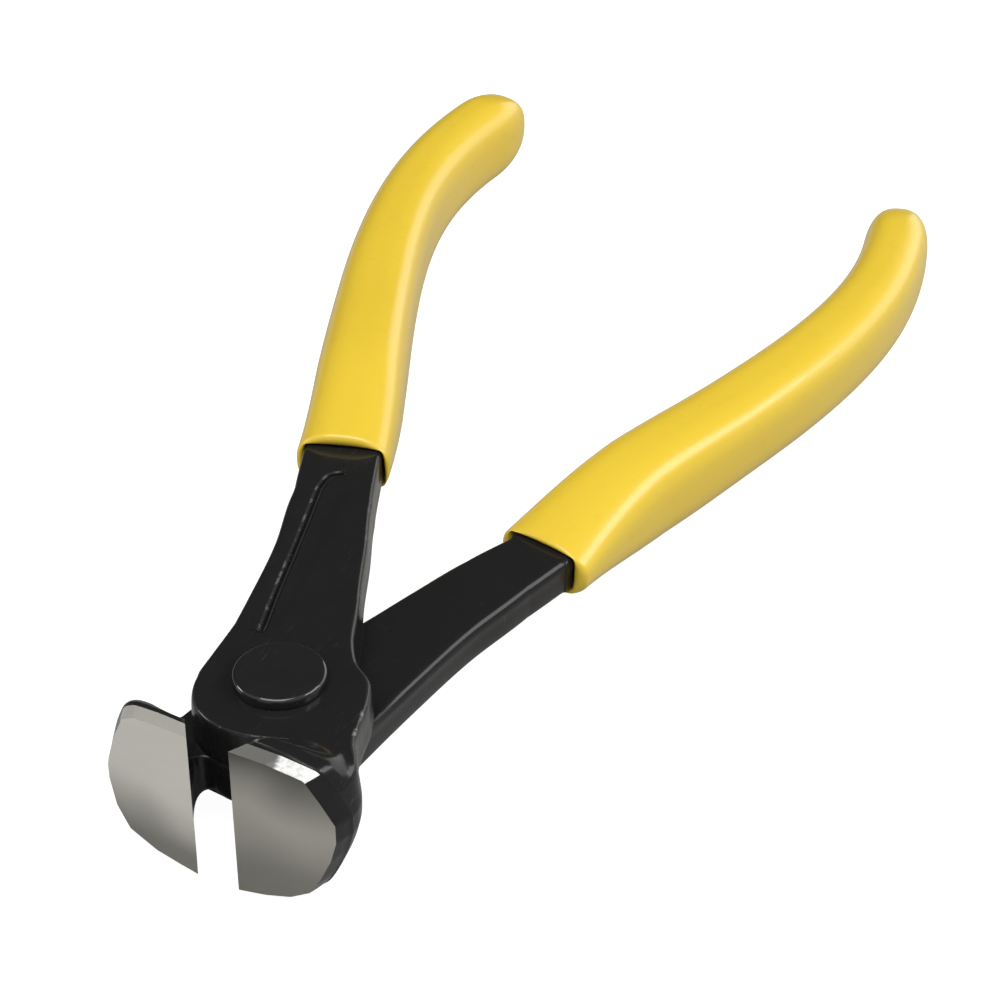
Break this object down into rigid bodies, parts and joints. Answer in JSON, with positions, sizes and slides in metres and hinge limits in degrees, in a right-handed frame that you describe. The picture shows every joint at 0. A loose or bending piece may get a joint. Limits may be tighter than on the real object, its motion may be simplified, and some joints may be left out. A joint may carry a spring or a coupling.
{
  "type": "fret cutting pliers",
  "caption": "End-cutting pliers with flush ground jaws on a riveted lap joint and long dipped handles, for nipping and pulling fret wire.",
  "frame": {"origin": "middle of the underside: half way along and across the overall box, at its lowest level", "axes": "+Y runs from the jaws to the ends of the grips, +Z along the rivet's axis and out of the upper lever, +X towards the right grip"},
  "size_m": [0.1002, 0.1984, 0.027],
  "materials": {
    "upper_lever_lacquer": "semi-gloss black lacquer on forged steel, jaw face and its end strips ground bare",
    "lower_lever_lacquer": "semi-gloss black lacquer on forged steel, jaw face and its end strips ground bare",
    "rivet_lacquer": "black lacquer over the turned rivet heads",
    "left_grip_vinyl": "dipped yellow vinyl, satin gloss",
    "right_grip_vinyl": "dipped yellow vinyl, satin gloss"
  },
  "bodies": {
    "upper_half": {"upper_lever": "upper_lever_lacquer", "pivot_rivet": "rivet_lacquer", "left_grip": "left_grip_vinyl"},
    "lower_half": {"lower_lever": "lower_lever_lacquer", "right_grip": "right_grip_vinyl"}
  },
  "joints": [
    {"name": "rivet_hinge", "type": "hinge", "parent": "upper_half", "child": "lower_half", "pos_m": [0, -0.078, 0.01526], "axis": [0, 0, 1], "range_deg": [-60, 17.2]}
  ]
}
